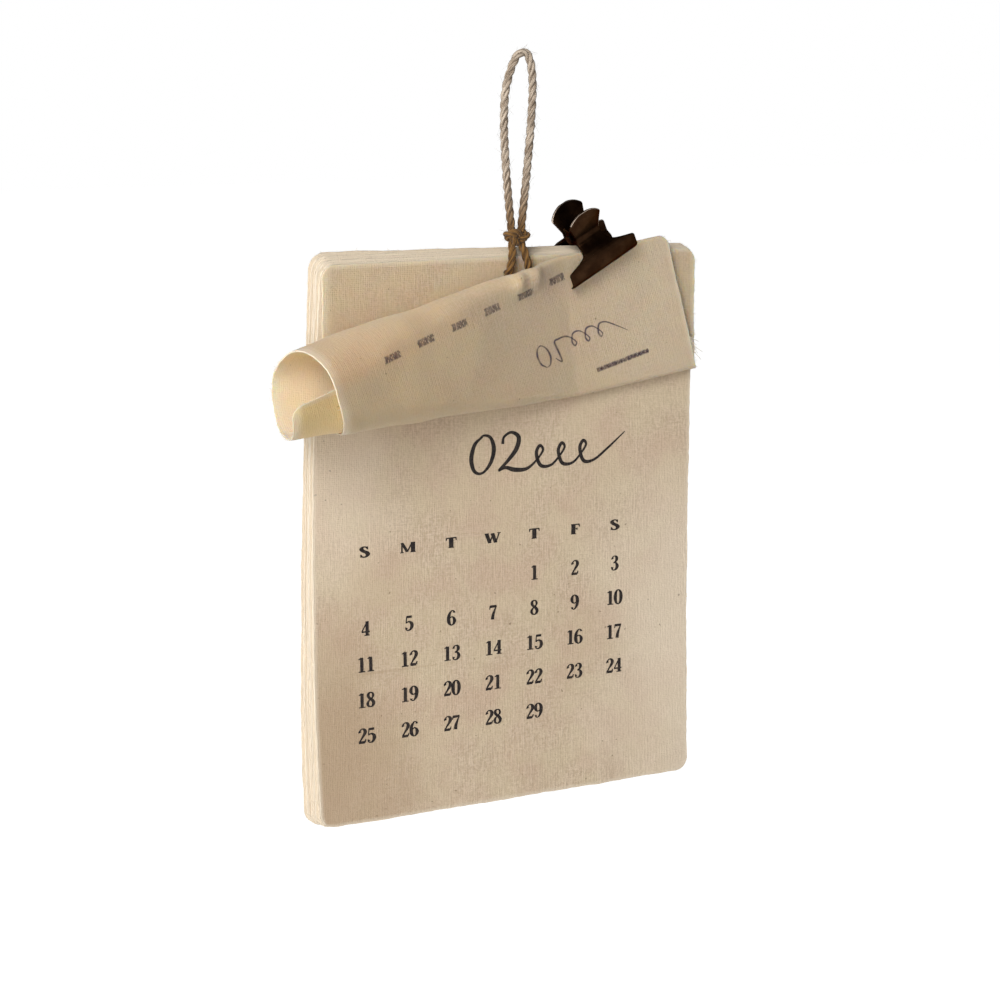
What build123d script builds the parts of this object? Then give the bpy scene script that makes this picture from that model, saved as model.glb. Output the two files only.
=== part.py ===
from build123d import *
import math
import os

# Wall calendar of cotton cloth, millimetres. X runs to the right, Z up, the front faces -Y.
# The origin is the point of the twine loop that rests on a hook. Y = 0 is the front of the page stack.

# Page stack
PAGE_W = 120.0
PAGE_H = 160.0
LEAVES = 12
LEAF_PITCH = 0.50
LEAF_T = 0.39
LEAF_STRAY = 0.45
EDGE_DEPTH = 1.3
BOW_LEFT = 2.6
BOW_RIGHT = 0.9
FLARE_LEFT = 2.4
FAN_LEFT = 3.0
FAN_RIGHT = 0.8
FAN_SIDE = 0.9
CORNER_R = 4.0
PAGE_SHIFT = -2.4

# Rolled page
SHEET_T = 0.42
SHEET_GAP = 0.10
ROLL_TILT = 7.7
ROLL_START = 31.0
ROLL_R_OPEN = 13.4
ROLL_R_FLAT = 1.3
ROLL_TURN_OPEN = 85.0
ROLL_TURN_FLAT = 86.0
ROLL_FLAT_FROM = 77.0
ROLL_OPEN_AT = -20.0
ROLL_SQUASH = 0.16
ROLL_SLIP = 4.0
ROLL_PUSH = 2.7
PUSH_WIDE = 8.4
PUSH_FROM = 9.0
PUSH_FULL = 3.0
ROLL_PITCH = 0.75

# Twine
TWINE_D = 2.6
HANG_DROP = 55.5
TWINE_SHIFT = 0.3
TWINE_GAP = 0.15
HOLE_D = 4.5
HOLE_SPREAD = 7.0
HOLE_DOWN = 5.5
STRAND_PITCH = 2.9
KNOT_W = 7.4
KNOT_DEEP = 5.2
KNOT_H = 4.6
KNOT_UP = 3.2
LOOP_W = 10.8
LOOP_WIDE_UP = 39.5
LOOP_TOP_W = 5.6

# Clip
CLIP_TILT = 29.0
CLIP_LEAN = 13.0
CLIP_GAP = 0.15
JAW_X = 26.7
JAW_Z = -4.2
JAW_W = 24.0
JAW_H = 5.6
JAW_BULGE = 2.4
RIDGE_UP = 2.0
BROW_UP = 7.4
SHOULDER_H = 2.6
LEVER_T = 0.6
PIVOT_UP = 11.0
NECK_W = 8.4
WAIST_R = 2.6
NECK_OUT = 2.9
NECK_LOW = -1.4
NECK_TOP = 1.0
HANDLE_W = 11.4
HANDLE_WIDE_UP = 5.6
HANDLE_UP = 8.5
HANDLE_OUT = 4.7
LEVER_CORNER_R = 0.9
PIN_D = 1.6
PIN_FIT = 0.05
EAR_R = 1.75
EAR_ROOT = 2.1
EAR_T = 0.6
EAR_PLAY = 0.15
HEAD_D = 2.6
HEAD_T = 0.5
WIRE_D = 0.5
COIL_D = 2.4
COIL_PITCH = 0.62
COIL_TURNS = 2
LEG_SPLAY = 20.0
LEG_L = 5.4

# Sizes that follow from those above
STACK_T = round(LEAVES) * LEAF_PITCH
TOP_Z = -HANG_DROP
LEFT_X = PAGE_SHIFT - PAGE_W / 2
RIGHT_X = PAGE_SHIFT + PAGE_W / 2
TWINE_R = TWINE_D / 2
TWINE_X = PAGE_SHIFT + TWINE_SHIFT
TILT = math.radians(ROLL_TILT)
SHEET_Y = -SHEET_GAP - SHEET_T / 2
ROLL_LAST = 7
BEND_ROWS = 6
STATIONS = 14
FLAP_Y = SHEET_Y - 2 * ROLL_R_FLAT + ROLL_PITCH / 4 - SHEET_T / 2
LEAN = math.radians(CLIP_LEAN)
CLIP_TURN = math.radians(CLIP_TILT)
HALF_GAP = (STACK_T - FLAP_Y + 2 * CLIP_GAP) / 2 / math.cos(LEAN)


def page_face(inset, dx, dz, fan):
    """Outline of one cloth leaf: bowed sides, rounded corners, the top raised by its share of the fan."""
    left = LEFT_X + dx + inset
    right = RIGHT_X + dx - inset
    top = TOP_Z + dz - inset
    bottom = TOP_Z - PAGE_H + dz + inset
    foot = left - FLARE_LEFT
    middle = (top + bottom) / 2
    top_left = (left - FAN_SIDE * fan, top + FAN_LEFT * fan)
    top_right = (right, top + FAN_RIGHT * fan)
    edges = [
        Line(top_left, top_right),
        ThreePointArc(top_right, (right - BOW_RIGHT, middle), (right, bottom)),
        Line((right, bottom), (foot, bottom)),
        ThreePointArc((foot, bottom), ((left + foot) / 2 - BOW_LEFT, middle), top_left),
    ]
    face = make_face(edges)
    return fillet(face.vertices(), CORNER_R - inset)


def slab(face, front_y, thickness):
    """Extrudes a face drawn in X and Z from front_y towards +Y."""
    return extrude(Plane.XZ.offset(-front_y) * face, -thickness)


def twine_holes():
    """Two round rods that punch the twine holes through the leaves."""
    rods = []
    for side in (-1, 1):
        x = TWINE_X + side * HOLE_SPREAD / 2
        rod = Cylinder(HOLE_D / 2, 4 * STACK_T, rotation=(90, 0, 0))
        rods.append(Pos(x, STACK_T / 2, TOP_Z - HOLE_DOWN) * rod)
    return rods


def make_page_block():
    """The stack of leaves: a core with the free edge of every leaf standing out around it."""
    count = round(LEAVES)
    block = slab(page_face(EDGE_DEPTH, 0, 0, 0), (LEAF_PITCH - LEAF_T) / 2, STACK_T - (LEAF_PITCH - LEAF_T))
    for i in range(count):
        calm = min(1.0, i / 2)
        dx = calm * LEAF_STRAY * math.sin(2.4 * i)
        dz = calm * LEAF_STRAY * 0.6 * math.cos(1.7 * i + 1.0)
        face = page_face(0, dx, dz, i / max(1, count - 1))
        leaf = slab(face, i * LEAF_PITCH + (LEAF_PITCH - LEAF_T) / 2, LEAF_T)
        block = block + leaf
    for rod in twine_holes():
        block = block - rod
    return block


def roll_section(u):
    """Radius, straight length and turn length of the roll at a place along its axis."""
    x = min(1.0, max(0.0, (u - ROLL_OPEN_AT) / (ROLL_FLAT_FROM - ROLL_OPEN_AT)))
    radius = ROLL_R_FLAT + (ROLL_R_OPEN - ROLL_R_FLAT) * (1 - x) ** 1.1
    turn = ROLL_TURN_OPEN + (ROLL_TURN_FLAT - ROLL_TURN_OPEN) * x
    return radius, turn / 2 - math.pi * radius, turn


def roll_marks(u):
    """Lengths along one turn where its straights and bends begin."""
    radius, straight, turn = roll_section(u)
    bend = math.pi * radius
    return [0, straight / 2, straight / 2 + bend, straight * 1.5 + bend, straight * 1.5 + 2 * bend, turn]


def roll_along(p, v):
    """Place along the axis of the roll: the inner turns slip out at the open end."""
    slip = ROLL_SLIP * max(0.0, v) / ROLL_TURN_FLAT * (1 - p / PAGE_W) ** 2
    return p / math.cos(TILT) - v * math.tan(TILT) - slip


def strand_push(u, up):
    """How far the twine strands press the upper rim of the roll forward, up from its middle."""
    centre = (TWINE_X - LEFT_X) * math.cos(TILT) + (ROLL_START - HOLE_DOWN) * math.sin(TILT)
    radius, straight, _ = roll_section(u)
    rim = straight / 2 + radius
    x = min(1.0, max(0.0, (up - rim + PUSH_FROM) / (PUSH_FROM - PUSH_FULL)))
    return ROLL_PUSH * math.exp(-(((u - centre) / PUSH_WIDE) ** 4)) * x * x * (3 - 2 * x)


def sheet_point(p, v, inward):
    """Place of the cloth p from its left edge and v past the start of the roll, moved inward."""
    u = roll_along(p, v)
    radius, straight, turn = roll_section(u)
    if v <= 0:
        down, out = v, inward
    else:
        marks = roll_marks(u)
        length = v % turn
        rho = radius - ROLL_PITCH * v / turn - inward
        if length < marks[1]:
            down, out = length, radius - rho
        elif length < marks[2]:
            angle = (length - marks[1]) / radius
            down, out = straight / 2 + rho * math.sin(angle), radius - rho * math.cos(angle)
        elif length < marks[3]:
            down, out = straight / 2 - (length - marks[2]), radius + rho
        elif length < marks[4]:
            angle = (length - marks[3]) / radius
            down, out = -straight / 2 - rho * math.sin(angle), radius + rho * math.cos(angle)
        else:
            down, out = length - turn, radius - rho
    if v > 0:
        squash = ROLL_SQUASH * (radius - ROLL_R_FLAT) / (ROLL_R_OPEN - ROLL_R_FLAT)
        out = out * (1 + squash) + strand_push(u, -down)
        down = down * (1 - squash)
    x = LEFT_X + u * math.cos(TILT) + down * math.sin(TILT)
    z = TOP_Z - ROLL_START + u * math.sin(TILT) - down * math.cos(TILT)
    return (x, SHEET_Y - out, z)


def length_at(p, phase):
    """Cloth length past the start of the roll where a phase of the roll is reached at p."""
    v = 0.0
    for _ in range(20):
        marks = roll_marks(roll_along(p, v))
        turns, rest = divmod(phase, 5)
        k = min(4, int(rest))
        v = turns * marks[5] + marks[k] + (rest - k) * (marks[k + 1] - marks[k])
    return v


def row_length(p, row):
    """Cloth length of a grid row at p: below 0 the flat part, then phases of the roll, then the hem."""
    if row < 0:
        return -row * (p * math.tan(TILT) - ROLL_START) * math.cos(TILT)
    if row <= ROLL_LAST:
        return length_at(p, row)
    last = length_at(p, ROLL_LAST)
    hem = (PAGE_H - ROLL_START + p * math.tan(TILT)) * math.cos(TILT)
    return last + (hem - last) * (row - ROLL_LAST)


def row_edge(row, inward):
    """A line across the cloth, from its left edge to its right edge."""
    stations = [PAGE_W * i / STATIONS for i in range(STATIONS + 1)]
    return Edge.make_spline([Vector(sheet_point(p, row_length(p, row), inward)) for p in stations])


def strip(rows, inward):
    """One panel of the cloth: ruled where it runs straight, lofted through its rows where it bends."""
    edges = [row_edge(row, inward) for row in rows]
    if len(edges) == 2:
        return Face.make_surface_from_curves(edges[0], edges[1])
    return Shell.make_loft([Wire([edge]) for edge in edges]).faces()[0]


def edge_near(face, point):
    """The edge of a face that passes closest to a point."""
    return min(face.edges(), key=lambda e: (e @ 0.5 - Vector(point)).length)


def bend_rows(first):
    """Evenly spaced rows of one bend of the roll."""
    return [first + k / BEND_ROWS for k in range(BEND_ROWS + 1)]


def make_turned_page():
    """The front page: flat at the top, then rolled up towards the front in a tapering spiral."""
    panels = [(-1, 0), (0, 1), bend_rows(1), (2, 3), bend_rows(3), (4, 6), bend_rows(6), bend_rows(7)]
    half = SHEET_T / 2
    faces = []
    for rows in panels:
        inner = strip(rows, half)
        outer = strip(rows, -half)
        faces += [inner, outer]
        middle = (rows[0] + rows[-1]) / 2
        for p in (0, PAGE_W):
            v = row_length(p, middle)
            inner_edge = edge_near(inner, sheet_point(p, v, half))
            outer_edge = edge_near(outer, sheet_point(p, v, -half))
            faces.append(Face.make_surface_from_curves(inner_edge, outer_edge))
    for row in (-1, ROLL_LAST + 1):
        faces.append(Face.make_surface_from_curves(row_edge(row, half), row_edge(row, -half)))
    sheet = Solid(Shell(faces))
    for rod in twine_holes():
        sheet = sheet - rod
    spare = SHEET_T
    reach = CORNER_R + spare
    for x, way in ((LEFT_X, 1), (RIGHT_X, -1)):
        corner = Pos(x + way * (reach / 2 - spare), SHEET_Y, TOP_Z - reach / 2 + spare)
        notch = corner * Box(reach, SHEET_T + SHEET_GAP, reach)
        rounding = Cylinder(CORNER_R, 2 * SHEET_T, rotation=(90, 0, 0))
        sheet = sheet - (notch - Pos(x + way * CORNER_R, SHEET_Y, TOP_Z - CORNER_R) * rounding)
    return sheet


def cord_tube(points, radii):
    """A round tube along straight runs joined by tangent arcs."""
    path = FilletPolyline(*points, radius=radii)
    tube = sweep(Plane(path @ 0, z_dir=path % 0) * Circle(TWINE_R), path=path)
    ratio = tube.volume / (path.length * math.pi * TWINE_R**2)
    print("cord length", round(path.length, 1), "volume ratio", round(ratio, 3))
    print("cord radii", [round(radius, 1) for radius in radii])
    return tube


def open_radii(points, tight):
    """Largest arc at every inner corner, or the given tight one where it is not zero."""
    radii = []
    for k in range(1, len(points) - 1):
        before = Vector(points[k]) - Vector(points[k - 1])
        after = Vector(points[k + 1]) - Vector(points[k])
        half_turn = math.radians(before.get_angle(after)) / 2
        largest = 0.45 * min(before.length, after.length) / math.tan(half_turn)
        radii.append(min(largest, tight[k - 1]) if tight[k - 1] else largest)
    return radii


def make_twine_loop():
    """The loop over the hook: up from the knot, wide in the middle, round the hook and down again."""
    knot_top = TOP_Z + KNOT_UP + KNOT_H - 1.0
    wide = TOP_Z + LOOP_WIDE_UP
    points = [
        (TWINE_X - STRAND_PITCH / 2, 0, knot_top),
        (TWINE_X - LOOP_W / 2, 0, wide),
        (-LOOP_TOP_W / 2, 0, TWINE_R),
        (LOOP_TOP_W / 2, 0, TWINE_R),
        (TWINE_X + LOOP_W / 2, 0, wide),
        (TWINE_X + STRAND_PITCH / 2, 0, knot_top),
    ]
    return cord_tube(points, open_radii(points, (0, 0, 0, 0)))


def make_twine_strap():
    """The two strands from the knot down the front, through the holes and across the back."""
    front_y = -SHEET_GAP - SHEET_T - TWINE_GAP - TWINE_R
    back_y = STACK_T + TWINE_GAP + TWINE_R
    hole_z = TOP_Z - HOLE_DOWN
    half = HOLE_SPREAD / 2
    near = STRAND_PITCH / 2
    brow = near + 0.25 * (half - near)
    points = [
        (TWINE_X - near, 0, TOP_Z + KNOT_UP + 0.8),
        (TWINE_X - brow, front_y, TOP_Z + 0.8),
        (TWINE_X - half, front_y, hole_z),
        (TWINE_X - half, back_y, hole_z),
        (TWINE_X + half, back_y, hole_z),
        (TWINE_X + half, front_y, hole_z),
        (TWINE_X + brow, front_y, TOP_Z + 0.8),
        (TWINE_X + near, 0, TOP_Z + KNOT_UP + 0.8),
    ]
    return cord_tube(points, open_radii(points, (0, TWINE_D, TWINE_D, TWINE_D, TWINE_D, 0)))


def make_twine_knot():
    """The knot on the top edge, a soft barrel that both strands run into."""
    base = Plane((TWINE_X, 0, TOP_Z + KNOT_UP))
    ends = Ellipse(KNOT_W * 0.38, KNOT_DEEP * 0.38)
    middle = Ellipse(KNOT_W / 2, KNOT_DEEP / 2)
    return loft([base * ends, base.offset(KNOT_H / 2) * middle, base.offset(KNOT_H) * ends])


def clip_place():
    """Where the clip sits: its own x runs along the jaw, its own z up the handles, the pin at 0."""
    rise = HALF_GAP * math.sin(LEAN) + PIVOT_UP * math.cos(LEAN)
    x = PAGE_SHIFT + JAW_X - rise * math.sin(CLIP_TURN)
    y = FLAP_Y - CLIP_GAP + HALF_GAP * math.cos(LEAN) - PIVOT_UP * math.sin(LEAN)
    z = TOP_Z + JAW_Z + rise * math.cos(CLIP_TURN)
    return Pos(x, y, z) * Rot(0, -CLIP_TILT, 0) * Rot(CLIP_LEAN, 0, 0)


def lever_outline():
    """Front view of a lever: wide jaw bar, sloping shoulders, narrow neck, rounded fishtail handle."""
    jaw = JAW_W / 2
    neck = NECK_W / 2
    handle = HANDLE_W / 2
    low = -PIVOT_UP
    bar = low + JAW_H
    edges = [
        Line((-jaw, low), (jaw, low)),
        Line((jaw, low), (jaw, bar)),
        Line((jaw, bar), (neck, bar + SHOULDER_H)),
        Line((neck, bar + SHOULDER_H), (neck, NECK_TOP)),
        Line((neck, NECK_TOP), (handle, HANDLE_WIDE_UP)),
        ThreePointArc((handle, HANDLE_WIDE_UP), (0, HANDLE_UP), (-handle, HANDLE_WIDE_UP)),
        Line((-handle, HANDLE_WIDE_UP), (-neck, NECK_TOP)),
        Line((-neck, NECK_TOP), (-neck, bar + SHOULDER_H)),
        Line((-neck, bar + SHOULDER_H), (-jaw, bar)),
        Line((-jaw, bar), (-jaw, low)),
    ]
    outline = make_face(edges)
    outline = fillet(outline.vertices().filter_by(lambda v: abs(v.X) > (neck + handle) / 2), LEVER_CORNER_R)
    return fillet(outline.vertices().filter_by(lambda v: abs(v.X) < (neck + handle) / 2), WAIST_R)


def make_lever(ear_outer):
    """The front lever: stamped sheet that bulges over the pages, dips in at the pin and flares to a handle."""
    low = -PIVOT_UP
    ridge = -HALF_GAP - JAW_BULGE
    line = FilletPolyline(
        (-HALF_GAP, low),
        (ridge, low + RIDGE_UP),
        (ridge, low + BROW_UP),
        (-NECK_OUT, NECK_LOW),
        (-NECK_OUT, NECK_TOP),
        (-HANDLE_OUT, HANDLE_UP),
        radius=(RIDGE_UP / 2, 2 * LEVER_T, 3 * LEVER_T, 6 * LEVER_T),
    )
    profile = make_face(offset(line, LEVER_T, side=Side.LEFT))
    plate = extrude(Plane.YZ * profile, JAW_W, both=True)
    lever = plate & extrude(Plane.XZ * lever_outline(), 3 * HALF_GAP, both=True)
    root = -NECK_OUT - LEVER_T / 2
    web = Polyline((0, -EAR_R), (0, EAR_R), (root, EAR_ROOT), (root, NECK_LOW), close=True)
    ear = Circle(EAR_R) + make_face(web)
    ear = ear - Circle(PIN_D / 2 + PIN_FIT)
    for x in (ear_outer - EAR_T, -ear_outer):
        lever = lever + extrude(Plane.YZ.offset(x) * ear, EAR_T)
    return lever


def make_clip_pin():
    """The rivet that both levers turn on, with a head outside each outer ear."""
    reach = NECK_W / 2 + EAR_PLAY
    rod = extrude(Plane.YZ.offset(-reach) * Circle(PIN_D / 2), 2 * reach)
    for x in (reach, -reach - HEAD_T):
        rod = rod + extrude(Plane.YZ.offset(x) * Circle(HEAD_D / 2), HEAD_T)
    return rod


def make_clip_spring():
    """The wound spring round the pin, with a straight leg up to each handle."""
    start = math.radians(180 + LEG_SPLAY)
    turns = COIL_TURNS + 0.5 - LEG_SPLAY / 180
    height = turns * COIL_PITCH
    frame = Plane((-height / 2, 0, 0), x_dir=(0, math.cos(start), math.sin(start)), z_dir=(1, 0, 0))
    coil = frame * Helix(COIL_PITCH, height, COIL_D / 2)
    wire = RegularPolygon(WIRE_D / 2, 6)
    spring = sweep(Plane(coil @ 0, z_dir=coil % 0) * wire, path=coil, is_frenet=True)
    for place, way in ((coil @ 0, coil % 0 * -1), (coil @ 1, coil % 1)):
        spring = spring + extrude(Plane(place, z_dir=way) * wire, LEG_L)
    return spring


place = clip_place()
inner_ear = NECK_W / 2 - EAR_T - EAR_PLAY
nodes = {
    "page_block": make_page_block(),
    "turned_page": make_turned_page(),
    "twine_loop": make_twine_loop(),
    "twine_strap": make_twine_strap(),
    "twine_knot": make_twine_knot(),
    "clip_front_lever": place * make_lever(NECK_W / 2),
    "clip_back_lever": place * mirror(make_lever(inner_ear), Plane.XZ),
    "clip_pin": place * make_clip_pin(),
    "clip_spring": place * make_clip_spring(),
}
os.makedirs("parts", exist_ok=True)
for name, shape in nodes.items():
    print(name, len(shape.solids()), shape.is_valid, round(shape.volume, 1))
    export_step(shape, f"parts/{name}.step")
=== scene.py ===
# %% [markdown]
# # A small cloth wall calendar, dressed in Blender
#
# The calendar is a stack of cotton pages on a twine loop. Its front page has been rolled up to the top and
# is held there by a small sprung clip. The construction model is loaded as a fixed frame in metres, and each
# piece below is made over it, at the same size and in the same place.

# %% Load the frame
import math
import random

import bmesh
import bpy
import numpy as np
from mathutils import Matrix, Vector, noise


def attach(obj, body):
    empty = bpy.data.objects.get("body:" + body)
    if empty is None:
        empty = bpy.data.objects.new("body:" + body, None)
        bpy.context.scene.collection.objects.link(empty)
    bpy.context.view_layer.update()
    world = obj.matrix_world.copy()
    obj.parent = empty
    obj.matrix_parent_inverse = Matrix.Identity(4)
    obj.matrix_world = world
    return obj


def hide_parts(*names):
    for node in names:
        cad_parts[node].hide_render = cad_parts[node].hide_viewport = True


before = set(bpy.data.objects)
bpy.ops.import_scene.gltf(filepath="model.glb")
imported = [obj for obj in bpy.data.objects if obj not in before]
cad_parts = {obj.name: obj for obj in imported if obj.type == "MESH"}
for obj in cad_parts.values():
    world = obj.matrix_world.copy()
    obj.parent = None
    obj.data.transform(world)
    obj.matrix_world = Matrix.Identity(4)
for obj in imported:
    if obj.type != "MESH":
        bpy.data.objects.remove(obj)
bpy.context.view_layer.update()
MM = 0.001
BODY = "calendar"

# %% [markdown]
# ## Working one piece at a time
#
# An operator acts on all that is selected, and the loaded nodes are still selected. The first helpers put
# everything down and then pick up one piece, the way a careful hand does it in the viewport.


# %% Helpers for pieces
def put_down():
    """Deselects everything, so that the next operator acts on one piece only."""
    bpy.ops.object.select_all(action="DESELECT")


def pick(piece):
    """Makes one piece the selected and active one."""
    put_down()
    piece.select_set(True)
    bpy.context.view_layer.objects.active = piece


def finish_with(piece, kind, **settings):
    """Adds a modifier with its settings and applies it."""
    pick(piece)
    modifier = piece.modifiers.new(kind.title(), kind)
    for key, value in settings.items():
        setattr(modifier, key, value)
    bpy.ops.object.modifier_apply(modifier=modifier.name)


def new_piece(name, mesh, *finishes):
    """A piece made of a mesh, with these finishes in place of any that the mesh has."""
    mesh.materials.clear()
    for finish in finishes:
        mesh.materials.append(finish)
    piece = bpy.data.objects.new(name, mesh)
    bpy.context.scene.collection.objects.link(piece)
    return piece


def smooth_step(low, high, value):
    """0 at low, 1 at high and an even ease between them."""
    x = min(1.0, max(0.0, (value - low) / (high - low)))
    return x * x * (3 - 2 * x)


put_down()
print("nothing is selected:", not bpy.context.selected_objects)

# %% [markdown]
# ## The camera
#
# The calendar is seen from its left and from a little above, through a long lens that keeps its edges nearly
# parallel. The place and direction are set as plain values, so the picture can be compared with a photograph.

# %% Camera
CAMERA_PLACE = Vector((-326.9, -598.5, 5.7)) * MM
CAMERA_WAY = Vector((0.4625, 0.8661, -0.1898))
CAMERA_LENS = 86.4

bpy.ops.object.camera_add(location=CAMERA_PLACE, rotation=CAMERA_WAY.to_track_quat("-Z", "Y").to_euler())
camera = bpy.context.object
camera.data.lens = CAMERA_LENS
camera.data.sensor_width = 36.0
bpy.context.scene.camera = camera
print("camera lens", CAMERA_LENS, "mm")

# %% [markdown]
# ## The twine's two routes
#
# The twine hangs the calendar, so its line is settled before anything is dressed. One route goes up from the
# knot in a long loop and comes back. The other goes from the knot down the front, through two holes and
# across the back. Each is a smooth spline whose control points repeat the construction's own, in millimetres.

# %% Twine routes
TWINE_X = -2.1
TOP_Z = -55.5
LOOP_ROUTE = (
    (-3.55, 0.0, -48.7),
    (-7.5, 0.0, -16.0),
    (-2.8, 0.0, 1.3),
    (2.8, 0.0, 1.3),
    (3.3, 0.0, -16.0),
    (-0.65, 0.0, -48.7),
)
STRAP_ROUTE = (
    (-3.55, 0.0, -51.5),
    (-4.06, -1.97, -54.7),
    (-5.6, -1.97, -61.0),
    (-5.6, 7.45, -61.0),
    (1.4, 7.45, -61.0),
    (1.4, -1.97, -61.0),
    (-0.14, -1.97, -54.7),
    (-0.65, 0.0, -51.5),
)


def spline_points(places):
    """Points along a smooth spline through the control points, in millimetres."""
    line = bpy.data.curves.new("route", "CURVE")
    line.dimensions = "3D"
    spline = line.splines.new("NURBS")
    spline.points.add(len(places) - 1)
    for point, place in zip(spline.points, places):
        point.co = (*place, 1.0)
    spline.order_u = 3
    spline.use_endpoint_u = True
    spline.resolution_u = 24
    carrier = bpy.data.objects.new("route", line)
    mesh = bpy.data.meshes.new_from_object(carrier)
    points = np.array([vertex.co for vertex in mesh.vertices])
    bpy.data.objects.remove(carrier)
    bpy.data.curves.remove(line)
    bpy.data.meshes.remove(mesh)
    return points


def lengths_along(points):
    """Length from the first point to each point of a line."""
    steps = np.linalg.norm(np.diff(points, axis=0), axis=1)
    return np.concatenate([[0.0], np.cumsum(steps)])


def evenly(points, step):
    """The same line with its points a set step apart."""
    along = lengths_along(points)
    places = np.linspace(0.0, along[-1], max(3, round(along[-1] / step) + 1))
    return np.column_stack([np.interp(places, along, points[:, axis]) for axis in range(3)])


ROUTE_STEP = 0.6
loop_line = evenly(spline_points(LOOP_ROUTE), ROUTE_STEP)
strap_line = evenly(spline_points(STRAP_ROUTE), ROUTE_STEP)
print("loop and strap:", [round(lengths_along(line)[-1], 1) for line in (loop_line, strap_line)], "mm")

# %% [markdown]
# ## Small words for shader nodes
#
# The finishes below are sums of a few simple patterns. These helpers each add one node and give back its
# output, so that a finish reads like a recipe instead of a page of links.


# %% Node helpers
def put(tree, socket, value):
    """Links an output to a socket, or sets the socket to a plain value."""
    if isinstance(value, bpy.types.NodeSocket):
        tree.links.new(value, socket)
    else:
        socket.default_value = value


def settle(node, values):
    """Sets sockets of a node to plain values, by their names."""
    for label, value in values.items():
        node.inputs[label].default_value = value


def calc(tree, operation, first, second=0.0, third=0.0):
    """One step of arithmetic."""
    made = tree.nodes.new("ShaderNodeMath")
    made.operation = operation
    for socket, value in zip(made.inputs, (first, second, third)):
        put(tree, socket, value)
    return made.outputs[0]


def times(tree, first, *others):
    """The product of two or more values."""
    for other in others:
        first = calc(tree, "MULTIPLY", first, other)
    return first


def blend_colour(tree, amount, first, second):
    """The first colour turning into the second by an amount from 0 to 1."""
    made = tree.nodes.new("ShaderNodeMix")
    made.data_type = "RGBA"
    put(tree, made.inputs["Factor"], amount)
    put(tree, made.inputs[6], first)
    put(tree, made.inputs[7], second)
    return made.outputs[2]


def ease(tree, value, low, high):
    """0 where a value is under low and 1 where it is over high."""
    made = tree.nodes.new("ShaderNodeMapRange")
    made.interpolation_type = "SMOOTHSTEP"
    settle(made, {"From Min": low, "From Max": high})
    put(tree, made.inputs["Value"], value)
    return made.outputs["Result"]


def stretched(tree, vector, scale):
    """A vector with each of its three parts scaled."""
    made = tree.nodes.new("ShaderNodeMapping")
    made.inputs["Scale"].default_value = scale
    tree.links.new(vector, made.inputs["Vector"])
    return made.outputs["Vector"]


def parts_of(tree, vector):
    """The X, Y and Z of a vector."""
    made = tree.nodes.new("ShaderNodeSeparateXYZ")
    tree.links.new(vector, made.inputs[0])
    return made.outputs[:]


def cloudy(tree, vector, scale, detail=2.0):
    """Soft noise around 0.5."""
    made = tree.nodes.new("ShaderNodeTexNoise")
    settle(made, {"Scale": scale, "Detail": detail})
    tree.links.new(vector, made.inputs["Vector"])
    return made.outputs["Fac"]


def object_place(tree):
    """The place on the object, in metres."""
    return tree.nodes.new("ShaderNodeTexCoord").outputs["Object"]


def uv_place(tree):
    """The place on the UV map of the piece."""
    return tree.nodes.new("ShaderNodeUVMap").outputs["UV"]


def new_finish(name):
    """An empty material, its node tree and its shader."""
    made = bpy.data.materials.new(name)
    made.use_nodes = True
    return made, made.node_tree, made.node_tree.nodes["Principled BSDF"]


def roughen(tree, shader, height, strength, depth):
    """Turns a height pattern into bumps that are depth metres deep."""
    bump = tree.nodes.new("ShaderNodeBump")
    settle(bump, {"Strength": strength, "Distance": depth})
    tree.links.new(height, bump.inputs["Height"])
    tree.links.new(bump.outputs["Normal"], shader.inputs["Normal"])


print("node helpers ready")

# %% [markdown]
# ## Floor and light
#
# A plain pale floor lies far below the hanging calendar, and the world behind it is white to the eye but
# gives only a soft light. The main lamp is broad and stands high at the front left, so the roll shades the
# page below it. One on the left lights the cut edges, and a low one at the front left shines into the mouth
# of the roll.

# %% Floor
FLOOR_Z = -420.0
FLOOR_SIZE = 12.0
FLOOR_GLOW = 0.89

bpy.ops.mesh.primitive_plane_add(size=FLOOR_SIZE, location=(0.0, 0.0, FLOOR_Z * MM))
floor = bpy.context.object
floor.name = "studio_floor"

paint, tree, ground = new_finish("studio_white")
settle(ground, {"Base Color": (0.80, 0.80, 0.795, 1.0), "Roughness": 0.9,
                "Emission Color": (1.0, 1.0, 1.0, 1.0)})
rays = tree.nodes.new("ShaderNodeLightPath").outputs
seen = calc(tree, "MAXIMUM", rays["Is Camera Ray"], rays["Is Glossy Ray"])
tree.links.new(times(tree, seen, FLOOR_GLOW), ground.inputs["Emission Strength"])
floor.data.materials.append(paint)
print("floor at", FLOOR_Z, "mm")

# %% World and lamps
AMBIENT = 0.14
LAMP_TARGET = Vector((0.0, 0.0, -0.13))
LAMPS = (
    ("main_lamp", (-0.95, -0.75, 0.70), 0.7, 13.2),
    ("side_lamp", (-1.25, -0.15, 0.10), 0.6, 4.2),
    ("front_lamp", (-0.85, -1.00, 0.06), 0.8, 6.3),
)

world = bpy.data.worlds.new("studio")
bpy.context.scene.world = world
world.use_nodes = True
tree = world.node_tree
sky = tree.nodes["Background"]
sky.inputs["Color"].default_value = (1.0, 1.0, 1.0, 1.0)
rays = tree.nodes.new("ShaderNodeLightPath").outputs
seen = calc(tree, "MAXIMUM", rays["Is Camera Ray"], rays["Is Transmission Ray"])
tree.links.new(calc(tree, "MULTIPLY_ADD", seen, 1.0 - AMBIENT, AMBIENT), sky.inputs["Strength"])

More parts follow.
